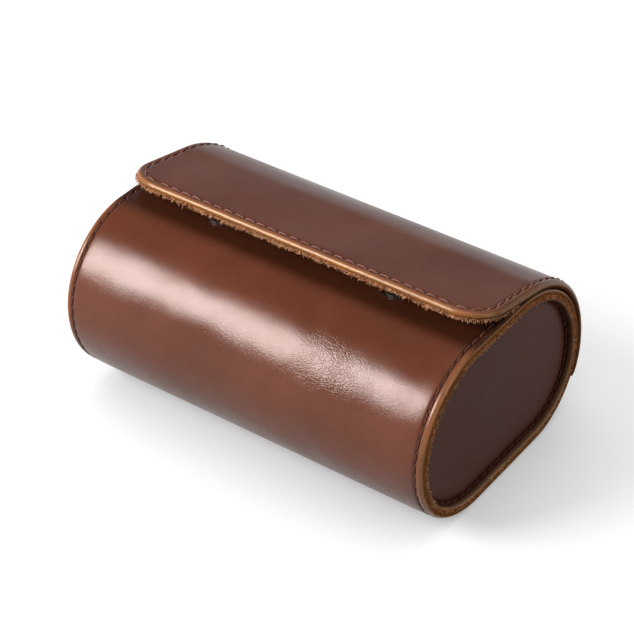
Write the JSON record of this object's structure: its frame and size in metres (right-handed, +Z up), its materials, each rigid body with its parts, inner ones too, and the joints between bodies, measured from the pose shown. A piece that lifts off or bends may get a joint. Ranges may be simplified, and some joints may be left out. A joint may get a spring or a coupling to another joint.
{
  "type": "watch travel case",
  "caption": "Leather travel case for watches: rounded stiffened body, recessed end caps, overlapping hinged flap with hidden magnetic snaps, and lift-out pillows.",
  "frame": {"origin": "on the floor under the middle of the closed case's box", "axes": "+X along the case towards the right end, the opening side is -Y, the flap's hinge is +Y, +Z up"},
  "size_m": [0.13, 0.0925, 0.0691],
  "materials": {
    "body_leather": "smooth pull-up leather, waxed",
    "flap_leather": "smooth pull-up leather, waxed",
    "cap_leather": "smooth leather, waxed",
    "suede_lining": "suede, napped",
    "pillow_suede": "soft suede cloth",
    "pillow_filling": "fibre filling",
    "board": "pressed board",
    "thread": "waxed thread",
    "snap_metal": "nickel plated",
    "magnet": "plain ferrite"
  },
  "bodies": {
    "case": {"body_leather": "body_leather", "body_stiffener": "board", "body_lining": "suede_lining", "right_end_cap": "cap_leather", "left_end_cap": "cap_leather", "right_end_board": "board", "left_end_board": "board", "right_end_lining": "suede_lining", "left_end_lining": "suede_lining", "right_seam_stitches": "thread", "left_seam_stitches": "thread", "mouth_stitches": "thread", "divider_board": "board", "divider_right_suede": "suede_lining", "divider_left_suede": "suede_lining", "snap_sockets": "snap_metal", "snap_magnets": "magnet", "socket_washers": "snap_metal", "hinge_strip": "flap_leather", "hinge_stitches": "thread"},
    "flap": {"flap_leather": "flap_leather", "flap_stiffener": "board", "flap_lining": "suede_lining", "flap_stitches": "thread", "snap_posts": "snap_metal", "post_washers": "snap_metal"},
    "right_pillow": {"right_pillow_cover": "pillow_suede", "right_pillow_ends": "pillow_suede", "right_pillow_foam": "pillow_filling"},
    "left_pillow": {"left_pillow_cover": "pillow_suede", "left_pillow_ends": "pillow_suede", "left_pillow_foam": "pillow_filling"}
  },
  "joints": [
    {"name": "flap_hinge", "type": "hinge", "parent": "case", "child": "flap", "pos_m": [0, 0.045, 0.0225], "axis": [-1, 0, 0], "range_deg": [0, 120], "deforming": ["hinge_strip"]},
    {"name": "right_pillow_lift", "type": "slide", "parent": "case", "child": "right_pillow", "axis": [0, 0.6038, 0.7972], "range_m": [0, 0.01]},
    {"name": "left_pillow_lift", "type": "slide", "parent": "case", "child": "left_pillow", "axis": [0, 0.6038, 0.7972], "range_m": [0, 0.01]}
  ]
}
